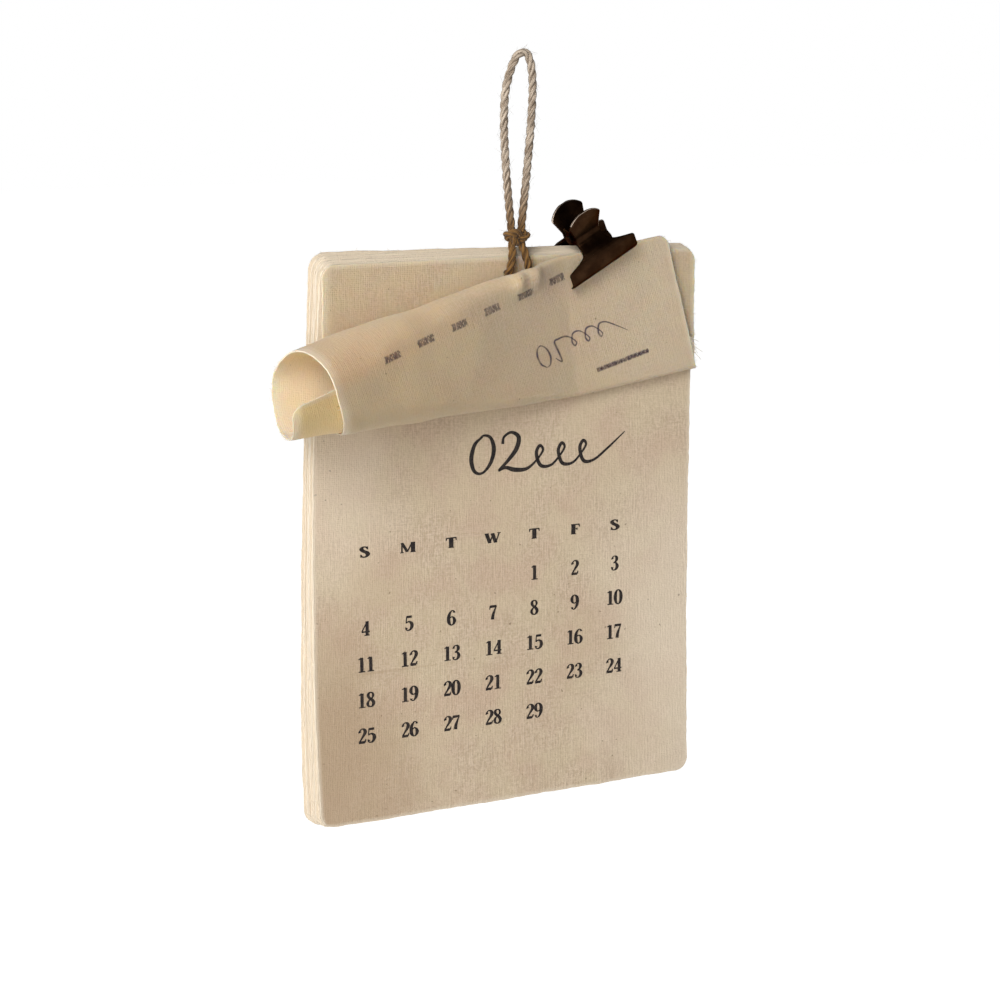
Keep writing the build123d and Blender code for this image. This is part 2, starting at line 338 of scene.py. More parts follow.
for name, place, size, power in LAMPS:
    way = LAMP_TARGET - Vector(place)
    bpy.ops.object.light_add(type="AREA", location=place, rotation=way.to_track_quat("-Z", "Y").to_euler())
    lamp = bpy.context.object
    lamp.name = name
    lamp.data.size = size
    lamp.data.energy = power
bpy.context.scene.view_settings.view_transform = "Standard"
print("lamps:", [lamp[0] for lamp in LAMPS])

# %% [markdown]
# ## Cotton, woven once for all the cloth
#
# The pages are unbleached cotton: a plain weave with thick and thin threads, faint clouds of colour and a few
# dark flecks of seed. All of the cloth shares one weave, built as a node group that takes a place on the
# cloth in millimetres. It gives a height for the threads, a shade for the streaks, and masks for clouds and
# tints. The flat pages read their own X and Z, and the rolled page reads its UV map, so its threads roll too.

# %% The weave group
THREAD = 0.56
SWAY = 0.5
THREAD_ROUND = 0.7
SLUB_STRETCH = ((1.7, 0.22, 1.0), (0.28, 1.7, 1.0))
PATCHES = (
    ("Tint", 0.085, 3.0, 0.38, 0.64),
    ("Cloud", 0.045, 3.0, 0.35, 0.68),
    ("Fleck", 0.62, 1.0, 0.755, 0.785),
)

weave = bpy.data.node_groups.new("cotton_weave", "ShaderNodeTree")
weave.interface.new_socket("Place", in_out="INPUT", socket_type="NodeSocketVector")
for label in ("Height", "Streak", "Cloud", "Tint", "Fleck"):
    weave.interface.new_socket(label, in_out="OUTPUT", socket_type="NodeSocketFloat")
place = weave.nodes.new("NodeGroupInput").outputs["Place"]
leave = weave.nodes.new("NodeGroupOutput").inputs

wander = weave.nodes.new("ShaderNodeTexNoise")
settle(wander, {"Scale": 0.35, "Detail": 1.0})
weave.links.new(place, wander.inputs["Vector"])
sway = weave.nodes.new("ShaderNodeVectorMath")
sway.operation = "MULTIPLY_ADD"
sway.inputs[1].default_value = (SWAY, SWAY, SWAY)
weave.links.new(wander.outputs["Color"], sway.inputs[0])
weave.links.new(place, sway.inputs[2])
ways = [times(weave, part, math.pi / THREAD) for part in parts_of(weave, sway.outputs["Vector"])[:2]]
bulges = [calc(weave, "ABSOLUTE", calc(weave, "SINE", way)) for way in ways]
warp, weft = (calc(weave, "POWER", bulge, THREAD_ROUND) for bulge in bulges)
over = times(weave, *(calc(weave, "COSINE", way) for way in ways))
lift = calc(weave, "MULTIPLY_ADD", over, 0.35, 0.5)
woven = calc(weave, "ADD", times(weave, warp, lift), times(weave, weft, calc(weave, "SUBTRACT", 1.0, lift)))
thick_warp, thick_weft = (cloudy(weave, stretched(weave, place, scale), 1.0, 3.0) for scale in SLUB_STRETCH)
slubs = calc(weave, "ADD", times(weave, thick_warp, 0.38), times(weave, thick_weft, 0.2))
streak = calc(weave, "MULTIPLY_ADD", cloudy(weave, place, 1.3, 3.0), 0.42, slubs)
put(weave, leave["Height"], calc(weave, "MULTIPLY_ADD", streak, 2.4, times(weave, woven, 0.5)))
put(weave, leave["Streak"], ease(weave, streak, 0.40, 0.60))
for label, scale, detail, low, high in PATCHES:
    put(weave, leave[label], ease(weave, cloudy(weave, place, scale, detail), low, high))
print("weave group with", len(weave.nodes), "nodes")


# %% Cotton tones
PAGE_W = 120.0
PAGE_H = 160.0
CREASE_Z = -171.3
CREASE_SHADE_Z = CREASE_Z - 0.4
FIELD_STRAY = 25.0
# Fields of painted light and painted shade on the front page: x from and to, z from and to, in millimetres,
# and share.
PAINTED_LIGHT_RIGHT = ((10.0, 62.0), (-108.0, -150.0), 0.75)
PAINTED_LIGHT_CORNER = ((-28.0, -58.0), (-160.0, -118.0), 0.5)
PAINTED_SHADE_LOW = ((-22.0, -62.0), (-135.0, -195.0), 0.8)
FLECK_COLOUR = (0.19, 0.12, 0.07, 1.0)
# Colour of painted light on the right of the page, under the roll's left end and on the roll's right end.
PAINTED_LIGHT_COLOUR = (0.84, 0.71, 0.55, 1.0)
# Colour of painted shade at the lower left of the page and along its crease.
PAINTED_SHADE_COLOUR = (0.47, 0.335, 0.215, 1.0)
# Colour of painted light on the inside of the roll.
PAINTED_INSIDE_LIGHT_COLOUR = (0.87, 0.68, 0.48, 1.0)
WARM_COLOUR = (0.64, 0.470, 0.280, 1.0)
# Colours of painted light that glows through the cloth inside the roll.
PAINTED_GOLD_LIGHT_COLOUR = (0.80, 0.60, 0.29, 1.0)
PAINTED_SUNNY_LIGHT_COLOUR = (0.97, 0.76, 0.36, 1.0)


def aged(tree, place, shade):
    """A page with painted light at its right side and just below the roll's left end, and painted shade at
    its lower left and along the crease.
    """
    x, z = parts_of(tree, place)[:2]
    off_crease = calc(tree, "ABSOLUTE", calc(tree, "SUBTRACT", z, CREASE_SHADE_Z))
    uneven = calc(tree, "MULTIPLY_ADD", cloudy(tree, place, 0.03, 3.0), 2 * FIELD_STRAY, -FIELD_STRAY)
    x = calc(tree, "ADD", x, uneven)
    z = calc(tree, "ADD", z, uneven)
    right, corner, low = (times(tree, ease(tree, x, *wide), ease(tree, z, *tall), share)
                          for wide, tall, share in (PAINTED_LIGHT_RIGHT, PAINTED_LIGHT_CORNER, PAINTED_SHADE_LOW))
    crease = times(tree, ease(tree, off_crease, 0.8, 0.1), ease(tree, x, -15.0, -45.0), 0.6)
    # Painted light at the right and under the roll's left end, then painted shade at the lower left and along
    # the crease.
    shade = blend_colour(tree, calc(tree, "MAXIMUM", right, corner), shade, PAINTED_LIGHT_COLOUR)
    return blend_colour(tree, calc(tree, "MAXIMUM", low, crease), shade, PAINTED_SHADE_COLOUR)


def over_page(tree, place, low, high):
    """0 to 1 between two distances from the left edge of the sheet, in millimetres."""
    return ease(tree, parts_of(tree, place)[0], low, high)


def down_page(tree, place, low, high):
    """0 to 1 between two distances from the top edge of the sheet, in millimetres."""
    return ease(tree, parts_of(tree, place)[1], PAGE_H - low, PAGE_H - high)


def bleached(tree, place, shade):
    """The printed face of the rolled page, with painted light: paler inside the roll and golden at the roll's
    top.
    """
    inside = down_page(tree, place, 27.0, 37.0)
    top = times(tree, down_page(tree, place, 76.0, 88.0), down_page(tree, place, 112.0, 100.0))
    # Painted light: paler inside the roll, and golden at its top as if lit through the cloth.
    shade = blend_colour(tree, times(tree, inside, 0.85), shade, PAINTED_INSIDE_LIGHT_COLOUR)
    return blend_colour(tree, times(tree, top, 0.8), shade, PAINTED_SUNNY_LIGHT_COLOUR)


def handled(tree, place, shade):
    """The plain face of the rolled page: warm on the left, with painted light that makes it paler on the
    right and golden at its inner end.
    """
    shade = blend_colour(tree, times(tree, over_page(tree, place, 80.0, 20.0), 0.7), shade, WARM_COLOUR)
    # Painted light: a paler right end and a golden inner end.
    shade = blend_colour(tree, times(tree, over_page(tree, place, 78.0, 112.0), 0.2), shade, PAINTED_LIGHT_COLOUR)
    return blend_colour(tree, times(tree, down_page(tree, place, 110.0, 122.0), 0.85), shade, PAINTED_GOLD_LIGHT_COLOUR)


print("a page is", PAGE_W, "by", PAGE_H, "mm")


# %% Cotton finishes
STRAW_TINT = (0.96, 1.0, 0.90, 1.0)


def cloth_place(tree, on_uv):
    """A place on the cloth in millimetres: from the UV map of a rolled page, else from X and Z."""
    if on_uv:
        return stretched(tree, uv_place(tree), (PAGE_W, PAGE_H, 1.0))
    parts = parts_of(tree, object_place(tree))
    join = tree.nodes.new("ShaderNodeCombineXYZ")
    for target, source in enumerate((0, 2, 1)):
        tree.links.new(times(tree, parts[source], 1 / MM), join.inputs[target])
    return join.outputs[0]


def weave_at(tree, place):
    """The outputs of the shared weave at a place on the cloth."""
    use = tree.nodes.new("ShaderNodeGroup")
    use.node_tree = weave
    tree.links.new(place, use.inputs["Place"])
    return use.outputs


def cotton(name, pale, deep, cloud, raw, on_uv=False, glow=0.0, tone=None):
    """Woven cotton between a pale and a deep colour, raw at cut edges, that lets a share of light through."""
    made, tree, shader = new_finish(name)
    place = cloth_place(tree, on_uv)
    cloth = weave_at(tree, place)
    straw = tuple(part * share for part, share in zip(pale, STRAW_TINT))
    shade = blend_colour(tree, cloth["Streak"], deep, pale)
    shade = blend_colour(tree, times(tree, cloth["Cloud"], 0.55), shade, cloud)
    shade = blend_colour(tree, times(tree, cloth["Tint"], 0.45), shade, straw)
    if tone:
        shade = tone(tree, place, shade)
    shade = blend_colour(tree, times(tree, cloth["Fleck"], 0.55), shade, FLECK_COLOUR)
    edge = tree.nodes.new("ShaderNodeAttribute")
    edge.attribute_name = "raw_edge"
    shade = blend_colour(tree, edge.outputs["Fac"], shade, raw)
    tree.links.new(shade, shader.inputs["Base Color"])
    settle(shader, {"Roughness": 0.92, "Specular IOR Level": 0.2, "Sheen Weight": 0.12,
                    "Sheen Roughness": 0.5, "Subsurface Weight": glow, "Subsurface Scale": 0.0012,
                    "Subsurface Radius": (1.0, 0.62, 0.30)})
    roughen(tree, shader, cloth["Height"], 0.55, 0.00022)
    return made


# The page's finish carries painted light and painted shade from its tone.
page_cotton = cotton(
    "page_cotton", (0.695, 0.555, 0.410, 1), (0.545, 0.415, 0.285, 1), (0.61, 0.440, 0.315, 1),
    (0.80, 0.69, 0.54, 1), tone=aged)
edge_cotton = cotton(
    "edge_cotton", (0.86, 0.77, 0.63, 1), (0.76, 0.65, 0.50, 1), (0.83, 0.73, 0.58, 1),
    (0.84, 0.74, 0.60, 1))
roll_cotton = cotton(
    "roll_cotton", (0.630, 0.490, 0.350, 1), (0.535, 0.400, 0.272, 1), (0.61, 0.45, 0.31, 1),
    (0.78, 0.66, 0.50, 1), on_uv=True, glow=0.8, tone=handled)
inside_cotton = cotton(
    "inside_cotton", (0.680, 0.530, 0.375, 1), (0.575, 0.430, 0.290, 1), (0.62, 0.46, 0.31, 1),
    (0.84, 0.72, 0.54, 1), on_uv=True, glow=0.8, tone=bleached)
print("cotton finishes:", page_cotton.name, edge_cotton.name, roll_cotton.name, inside_cotton.name)

# %% [markdown]
# ## The stack of pages
#
# Twelve pages hang together, cut by hand, so no two edges lie quite in line, and at the upper left the front
# ones sag and leave the back ones standing out. The front page is free below the roll and stands off the
# stack in slow waves, so it is a fine grid whose points are moved by formulas. The pages inside show only
# their edges: each is a disc of many points pulled out to the page's outline. Solidify gives every page the
# thickness of the cloth.

# %% Outline of a page
LEAVES = 12
LEAF_PITCH = 0.50
LEAF_T = 0.39
LEAF_STRAY = 0.45
LEFT_X = -62.4
RIGHT_X = 57.6
BOW_LEFT = 2.6
BOW_RIGHT = 0.9
FLARE_LEFT = 2.4
FAN_LEFT = 3.0
FAN_RIGHT = 0.8
FAN_SIDE = 0.9
FAN_FOOT = 2.6
FAN_TIP = 1.5
CORNER_R = 4.0
RIPPLE = 0.35
FOOT_CURL = 0.45
CREASE_UP = 0.16
CREASE_HALF = 0.9
FRAY = 0.20


def wave_at(x, z, seed):
    """Soft noise from -1 to 1 at a place on the page."""
    return noise.noise(Vector((x, z, seed)))


def page_lift(x, z):
    """How far the free front page stands out from the stack."""
    free = smooth_step(-104.0, -135.0, z)
    ripple = 0.5 + 0.5 * wave_at(x / 24, z / 38, 1.7)
    foot = smooth_step(-180.0, -215.0, z) * (0.5 + 0.6 * wave_at(x / 17, 0.0, 4.1))
    crease = math.exp(-((z - CREASE_Z) / CREASE_HALF) ** 2) * smooth_step(-22.0, -38.0, x)
    return free * (RIPPLE * ripple + FOOT_CURL * max(0.0, foot)) + CREASE_UP * crease


def round_corner(across, down):
    """A place on the page in millimetres, from shares of its width and height, on its rounded outline."""
    a = across * PAGE_W
    b = down * PAGE_H
    from_side = min(a, PAGE_W - a)
    from_end = min(b, PAGE_H - b)
    if from_side < CORNER_R and from_end < CORNER_R:
        u = 1 - from_side / CORNER_R
        v = 1 - from_end / CORNER_R
        inset_u = CORNER_R * (1 - u * math.sqrt(1 - v * v / 2))
        inset_v = CORNER_R * (1 - v * math.sqrt(1 - u * u / 2))
        a = inset_u if a < PAGE_W / 2 else PAGE_W - inset_u
        b = inset_v if b < PAGE_H / 2 else PAGE_H - inset_v
    return a, b


def leaf_place(i, across, down):
    """Middle of the cloth of leaf i, across from 0 to 1 and down from 0 to 1."""
    a, b = round_corner(across, down)
    calm = min(1.0, i / 2)
    shift = calm * LEAF_STRAY * math.sin(2.4 * i)
    drop = calm * LEAF_STRAY * 0.6 * math.cos(1.7 * i + 1.0)
    t = b / PAGE_H
    bow = 4 * t * (1 - t)
    fan = i / (LEAVES - 1) * (1 - t)
    left = LEFT_X + shift - FLARE_LEFT * t - BOW_LEFT * bow - FAN_SIDE * fan * max(0.0, 1 - 2 * t)
    left -= FAN_FOOT * i / (LEAVES - 1) * smooth_step(0.3, 1.0, t)
    right = RIGHT_X + shift - BOW_RIGHT * bow
    right += FAN_TIP * i / (LEAVES - 1) * smooth_step(0.4, 0.0, t)
    x = left + (right - left) * a / PAGE_W
    z = TOP_Z + drop - b + fan * (FAN_LEFT + (FAN_RIGHT - FAN_LEFT) * a / PAGE_W)
    if across in (0.0, 1.0) or down in (0.0, 1.0):
        x += FRAY * wave_at(x / 2.1 + 7 * i, z / 2.1, 9.0) + 0.25 * wave_at(x / 9 + 3 * i, z / 9, 2.0)
        z += FRAY * wave_at(x / 2.3 + 5 * i, z / 2.3, 5.0) + 0.30 * wave_at(x / 11 + 3 * i, z / 11, 8.0)
    y = (i + 0.5) * LEAF_PITCH
    if i == 0:
        y -= page_lift(x, z)
    return Vector((x, y, z))


def border_place(i, share):
    """A place on the outline of leaf i, going round from the upper left corner down the left side."""
    side, rest = divmod(share * 4, 1)
    across, down = ((0.0, rest), (rest, 1.0), (1.0, 1 - rest), (1 - rest, 0.0))[int(side) % 4]
    return leaf_place(i, across, down)


print("front page lifts", round(page_lift(0.0, -150.0), 2), "mm at its middle")


# %% Pages as grids and discs
EDGE_PALE = 0.75
RIM_POINTS = 480
FRONT_GRID = (96, 128)
BACK_GRID = (44, 58)


def mark_edge(piece, values):
    """Stores how near each point is to a cut edge, for the finish to read."""
    marks = piece.data.attributes.new("raw_edge", "FLOAT", "POINT")
    marks.data.foreach_set("value", values)


def grid_cloth(name, grid, place, fade, fade_left):
    """A grid whose points are set by place(across, down), marked pale within some millimetres of its edge."""
    put_down()
    bpy.ops.mesh.primitive_grid_add(x_subdivisions=grid[0], y_subdivisions=grid[1], size=1.0)
    piece = bpy.context.object
    piece.name = name
    marks = []
    for vertex in piece.data.vertices:
        across = round(vertex.co.x + 0.5, 6)
        down = round(0.5 - vertex.co.y, 6)
        near = min(across * PAGE_W * fade / fade_left, (1 - across) * PAGE_W,
                   down * PAGE_H, (1 - down) * PAGE_H)
        marks.append(EDGE_PALE * (1 - smooth_step(0.0, fade, near)))
        vertex.co = place(across, down) * MM
    mark_edge(piece, marks)
    return piece


def grid_leaf(name, i, grid, fade):
    """A leaf that shows its whole face, as a grid."""
    return grid_cloth(name, grid, lambda across, down: leaf_place(i, across, down), fade, fade)


def disc_leaf(i):
    """An inner leaf: a disc whose rim is pulled out to the outline of the page."""
    put_down()
    bpy.ops.mesh.primitive_circle_add(vertices=RIM_POINTS, radius=1.0, fill_type="NGON")
    piece = bpy.context.object
    for k, vertex in enumerate(piece.data.vertices):
        vertex.co = border_place(i, k / RIM_POINTS) * MM
    mark_edge(piece, [1.0] * RIM_POINTS)
    return piece


def thicken(piece, thickness, finishes):
    """Gives cloth its thickness, the cut edge in the second finish and the other face in any third one."""
    for finish in finishes:
        piece.data.materials.append(finish)
    finish_with(piece, "SOLIDIFY", thickness=thickness * MM, offset=0.0, material_offset_rim=1,
                material_offset=2 * (len(finishes) > 2))


leaves = [grid_leaf("front_page", 0, FRONT_GRID, 1.3)]
leaves += [disc_leaf(i) for i in range(1, LEAVES - 1)]
leaves.append(grid_leaf("back_page", LEAVES - 1, BACK_GRID, 2.8))
for leaf in leaves:
    thicken(leaf, LEAF_T, (page_cotton, edge_cotton))
put_down()
for leaf in leaves:
    leaf.select_set(True)
bpy.context.view_layer.objects.active = leaves[0]
bpy.ops.object.join()
page_stack = bpy.context.object
page_stack.name = "page_stack"
bpy.ops.object.shade_smooth_by_angle(angle=math.radians(40))
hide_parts("page_block")
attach(page_stack, BODY)
print("page stack:", len(page_stack.data.polygons), "faces")

# %% [markdown]
# ## The rolled page
#
# The front page is one sheet of the same cloth. It lies flat at the top, then rolls forward and up in a
# spiral that is round and open on the left and pressed flat on the right, under the clip. The sheet starts as
# a flat grid at its cut size, and each point is carried along the spiral, so no thread is stretched. Slow
# dents that run through all the turns at once keep it from looking machined.

# %% Spiral of the roll
SHEET_T = 0.42
SHEET_GAP = 0.10
ROLL_TILT = math.radians(7.7)
ROLL_START = 31.0
ROLL_R_OPEN = 13.4
ROLL_R_FLAT = 1.3
ROLL_TAPER = 1.1
ROLL_TURN_OPEN = 85.0
ROLL_TURN_FLAT = 86.0
ROLL_FLAT_FROM = 77.0
ROLL_OPEN_AT = -20.0
ROLL_SQUASH = 0.16
ROLL_SLIP = 4.0
ROLL_PUSH = 1.9
RIDGE_UP = 1.2
RIDGE_HALF = 1.9
RIDGE_APART = 3.2
ROLL_PITCH = 0.75
FOLD_CORNER = 3.2
HOLE_SPREAD = 7.0
HOLE_DOWN = 5.5
SHEET_Y = -SHEET_GAP - SHEET_T / 2


def roll_section(u):
    """Radius, straight length and turn length of the roll at a place along its axis."""
    x = min(1.0, max(0.0, (u - ROLL_OPEN_AT) / (ROLL_FLAT_FROM - ROLL_OPEN_AT)))
    radius = ROLL_R_FLAT + (ROLL_R_OPEN - ROLL_R_FLAT) * (1 - x) ** ROLL_TAPER
    turn = ROLL_TURN_OPEN + (ROLL_TURN_FLAT - ROLL_TURN_OPEN) * x
    return radius, turn / 2 - math.pi * radius, turn


def strand_push(u, up):
    """How far the twine strands press the upper rim of the roll forward."""
    centre = (TWINE_X - LEFT_X) * math.cos(ROLL_TILT) + (ROLL_START - HOLE_DOWN) * math.sin(ROLL_TILT)
    radius, straight, _ = roll_section(u)
    high = smooth_step(straight / 2 + radius - 9, straight / 2 + radius - 3, up)
    ridges = sum(math.exp(-(((u - centre - side) / RIDGE_HALF) ** 2)) for side in (-RIDGE_APART, RIDGE_APART))
    return (ROLL_PUSH * math.exp(-(((u - centre) / (1.2 * HOLE_SPREAD)) ** 2)) + RIDGE_UP * ridges) * high


def roll_dent(u, angle, radius):
    """Slow dents of the roll, the same through all of its turns."""
    round_x = math.cos(angle)
    round_y = math.sin(angle)
    slow = wave_at(u / 26, 0.8 * round_x + 3.0, 0.8 * round_y)
    fine = wave_at(u / 9, 1.6 * round_x, 1.6 * round_y + 5.0)
    room = smooth_step(1.5, 6.0, radius)
    return (0.9 * slow + 0.28 * fine) * room + 0.12 * fine


print("radius at the open end", round(roll_section(0.0)[0], 1), "mm, at the flat end", ROLL_R_FLAT, "mm")


# %% Cloth along the spiral
def roll_path(v, radius, straight, turn):
    """Distance down, angle in a bend or None, and which side the cloth is on, at a length along the roll."""
    bend = math.pi * radius
    marks = (straight / 2, straight / 2 + bend, straight * 1.5 + bend, straight * 1.5 + 2 * bend)
    length = v % turn
    if length < marks[0]:
        return length, None, 1
    if length < marks[1]:
        return straight / 2, (length - marks[0]) / radius, 1
    if length < marks[2]:
        return straight / 2 - (length - marks[1]), None, -1
    if length < marks[3]:
        return -straight / 2, (length - marks[2]) / radius, -1
    return length - turn, None, 1


def sheet_place(p, v, inward=0.0):
    """Place of the cloth p from its left edge and v past the start of the roll, moved inward."""
    slip = ROLL_SLIP * max(0.0, v) / ROLL_TURN_FLAT * (1 - p / PAGE_W) ** 2
    u = p / math.cos(ROLL_TILT) - v * math.tan(ROLL_TILT) - slip
    radius, straight, turn = roll_section(u)
    down, out = v, inward
    if v > 0:
        ramp = smooth_step(0.0, 12.0, v)
        dent = ramp * roll_dent(u, 2 * math.pi * v / turn, radius)
        rho = radius - ROLL_PITCH * v / turn - inward + dent
        down, angle, way = roll_path(v, radius, straight, turn)
        if angle is None:
            out = radius - way * rho
        else:
            down += way * rho * math.sin(angle)
            out = radius - way * rho * math.cos(angle)
        squash = ROLL_SQUASH * (radius - ROLL_R_FLAT) / (ROLL_R_OPEN - ROLL_R_FLAT)
        to_top = max(0.0, 1 - max(0.0, straight / 2 + radius + down) / FOLD_CORNER)
        to_end = max(0.0, 1 - max(0.0, PAGE_W - p) / (2 * FOLD_CORNER))
        out = max(out, inward) * (1 + squash) + strand_push(u, -down)
        u -= FOLD_CORNER * (1 - math.sqrt(1 - to_top ** 2)) * to_end
        down = down * (1 - squash)
    x = LEFT_X + u * math.cos(ROLL_TILT) + down * math.sin(ROLL_TILT)
    z = TOP_Z - ROLL_START + u * math.sin(ROLL_TILT) - down * math.cos(ROLL_TILT)
    return Vector((x, SHEET_Y - out, z))


def roll_length(p, b):
    """Length past the start of the roll of a place p across and b down the flat sheet."""
    return (b - ROLL_START + p * math.tan(ROLL_TILT)) * math.cos(ROLL_TILT)


def page_spot(across, down):
    """Place on the rolled sheet of a point of the flat page, with a slightly uneven cut at its sides."""
    p, b = round_corner(across, down)
    if across in (0.0, 1.0):
        p += FRAY * wave_at(b / 2.2, across, 3.0) + 0.35 * wave_at(b / 12, across, 6.0)
    return sheet_place(p, roll_length(p, b))


print("left end of the roll reaches", [round(c, 1) for c in page_spot(0.0, 0.45)])

# %% Rolled sheet
ROLL_GRID = (144, 210)
ROLL_FADE = 1.6
ROLL_FADE_LEFT = 3.4

rolled_page = grid_cloth("rolled_page", ROLL_GRID, page_spot, ROLL_FADE, ROLL_FADE_LEFT)
thicken(rolled_page, SHEET_T, (inside_cotton, edge_cotton, roll_cotton))
pick(rolled_page)
bpy.ops.object.shade_smooth_by_angle(angle=math.radians(50))
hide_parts("turned_page")
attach(rolled_page, BODY)
print("rolled page:", len(rolled_page.data.polygons), "faces")

# %% [markdown]
# ## Tubes along lines
#
# Twine plies, stray fibres and loose threads are all thin round tubes along a line. One function builds any
# number of them as a single mesh. The frame of each ring is carried from the one before it, so a tube never
# twists on itself, and its UV map holds the turn round it and the length along it.


# %% Tube builder
def carried_frames(points):
    """Two directions square to the line at each point, carried along without twist."""
    ways = np.gradient(points, axis=0)
    ways /= np.linalg.norm(ways, axis=1)[:, None]
    start = np.array((0.0, 1.0, 0.0)) if abs(ways[0][1]) < 0.9 else np.array((1.0, 0.0, 0.0))
    normals = []
    for way in ways:
        start = start - way * start.dot(way)
        start = start / np.linalg.norm(start)
        normals.append(start)
    normals = np.array(normals)
    return normals, np.cross(ways, normals)


def add_tubes(name, lines, radii, sides, finish):
    """One mesh of round tubes, one along each line of points in millimetres, closed at both ends."""
    verts, faces, turns = [], [], []
    for line, radius in zip(lines, radii):
        normals, sideways = carried_frames(line)
        along = lengths_along(line)
        base = len(verts)
        rings = len(line)
        for ring in range(rings):
            width = radius[ring] if np.ndim(radius) else radius
            for side in range(sides):
                angle = 2 * math.pi * side / sides
                spoke = math.cos(angle) * normals[ring] + math.sin(angle) * sideways[ring]
                verts.append((line[ring] + width * spoke) * MM)
        for ring in range(rings - 1):
            for side in range(sides):
                here = base + ring * sides
                after = (side + 1) % sides
                faces.append((here + side, here + after, here + sides + after, here + sides + side))
                low, high = along[ring], along[ring + 1]
                turns += [(side / sides, low), ((side + 1) / sides, low), ((side + 1) / sides, high),
                          (side / sides, high)]
        last = base + (rings - 1) * sides
        faces.append(tuple(reversed(range(base, base + sides))))
        faces.append(tuple(range(last, last + sides)))
        turns += [(0.5, 0.0)] * sides + [(0.5, along[-1])] * sides
    mesh = bpy.data.meshes.new(name)
    mesh.from_pydata([tuple(v) for v in verts], [], faces)
    layer = mesh.uv_layers.new(name="UVMap")
    layer.data.foreach_set("uv", [value for pair in turns for value in pair])
    mesh.polygons.foreach_set("use_smooth", [True] * len(mesh.polygons))
    return new_piece(name, mesh, finish)


print("tube builder ready")

# %% [markdown]
# ## Jute twine
#
# The twine is three soft plies of jute laid round each other. Each ply winds round the route's smooth line,
# and hundreds of fine fibres stand off it, which is what makes jute look hairy. The knot is the common
# overhand knot, drawn as a closed line that passes over and under itself three times.

# %% Jute finish
jute, tree, shader = new_finish("jute")
fibre = cloudy(tree, stretched(tree, uv_place(tree), (7.0, 0.22, 1.0)), 1.0, 4.0)
pale = ease(tree, fibre, 0.35, 0.65)
low_down = ease(tree, parts_of(tree, object_place(tree))[2], -0.030, -0.050)
dry = blend_colour(tree, pale, (0.215, 0.155, 0.105, 1), (0.56, 0.465, 0.365, 1))
golden = blend_colour(tree, pale, (0.042, 0.017, 0.003, 1), (0.26, 0.130, 0.032, 1))
tree.links.new(blend_colour(tree, low_down, dry, golden), shader.inputs["Base Color"])
settle(shader, {"Roughness": 0.85, "Specular IOR Level": 0.25, "Sheen Weight": 0.2})
roughen(tree, shader, fibre, 0.8, 0.00025)
print("finish:", jute.name)

# %% Plies of the twine
PLIES = 3
PLY_LAY = 8.5
PLY_R = 0.60
PLY_OFFSET = 0.63
PLY_SIDES = 9
KNOT_HALF = (2.55, 1.35, 1.75)
KNOT_PLACE = np.array((TWINE_X, -0.2, TOP_Z + 5.5))


def plies_round(points):
    """Lines of the plies that wind round a line, one full turn in every lay."""
    along = lengths_along(points)
    normals, sideways = carried_frames(points)
    lines = []
    for k in range(PLIES):
        angle = 2 * math.pi * (along / PLY_LAY + k / PLIES)
        round_it = np.cos(angle)[:, None] * normals + np.sin(angle)[:, None] * sideways
        lines.append(points + PLY_OFFSET * round_it)
    return lines


def knot_line(steps):
    """An overhand knot drawn tight: a closed line that crosses itself three times."""
    t = np.linspace(0.15, 2 * math.pi + 0.15, steps)
    wide = (np.sin(t) + 2 * np.sin(2 * t)) / 2.6
    tall = (np.cos(t) - 2 * np.cos(2 * t)) / 3.0
    deep = -np.sin(3 * t)
    return KNOT_PLACE + np.column_stack([wide, deep, tall]) * np.array(KNOT_HALF)


def add_twine(name, points, nodes):
    """Twine along a line, standing for the nodes of its plain tube."""
    piece = add_tubes(name, plies_round(points), [PLY_R] * PLIES, PLY_SIDES, jute)
    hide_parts(*nodes)
    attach(piece, BODY)
    return piece


twine_loop = add_twine("twine_hanging_loop", loop_line, ["twine_loop"])
twine_strap = add_twine("twine_through_pages", strap_line, ["twine_strap"])
tied_line = evenly(knot_line(160), 0.5)
knot = add_twine("twine_overhand_knot", tied_line, ["twine_knot"])
print("twine pieces:", twine_loop.name, twine_strap.name, knot.name)

# %% Stray fibres of the twine
FIBRES_PER_MM = 3.2
FIBRE_R = 0.032
FIBRE_LENGTH = (0.8, 3.0)
FIBRE_SIDES = 3
HAIR_RINGS = 5


def stray_fibres(points, draw):
    """Fine curved fibres that leave the surface of the twine at a low angle."""
    normals, sideways = carried_frames(points)
    ways = np.gradient(points, axis=0)
    ways /= np.linalg.norm(ways, axis=1)[:, None]
    lines = []
    for _ in range(round(lengths_along(points)[-1] * FIBRES_PER_MM)):
        k = draw.randrange(1, len(points) - 1)
        angle = draw.uniform(0, 2 * math.pi)
        spoke = math.cos(angle) * normals[k] + math.sin(angle) * sideways[k]
        turn = -math.sin(angle) * normals[k] + math.cos(angle) * sideways[k]
        length = draw.uniform(*FIBRE_LENGTH)
        rise = draw.uniform(0.15, 0.6) * length
        lean = draw.choice((-1, 1)) * length
        curl = draw.uniform(-0.7, 0.7) * length
        steps = np.linspace(0.0, 1.0, HAIR_RINGS)[:, None]
        lines.append(points[k] + spoke * (1.05 + rise * steps ** 1.5) + ways[k] * lean * steps
                     + turn * curl * steps ** 2)
    return lines


draw = random.Random(11)
fibre_lines = [fibre for line in (loop_line, strap_line, tied_line) for fibre in stray_fibres(line, draw)]
fibre_tapers = [FIBRE_R * np.linspace(1.0, 0.35, HAIR_RINGS)] * len(fibre_lines)
twine_fibres = add_tubes("twine_fibres", fibre_lines, fibre_tapers, FIBRE_SIDES, jute)
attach(twine_fibres, BODY)
print("fibres:", len(fibre_lines))

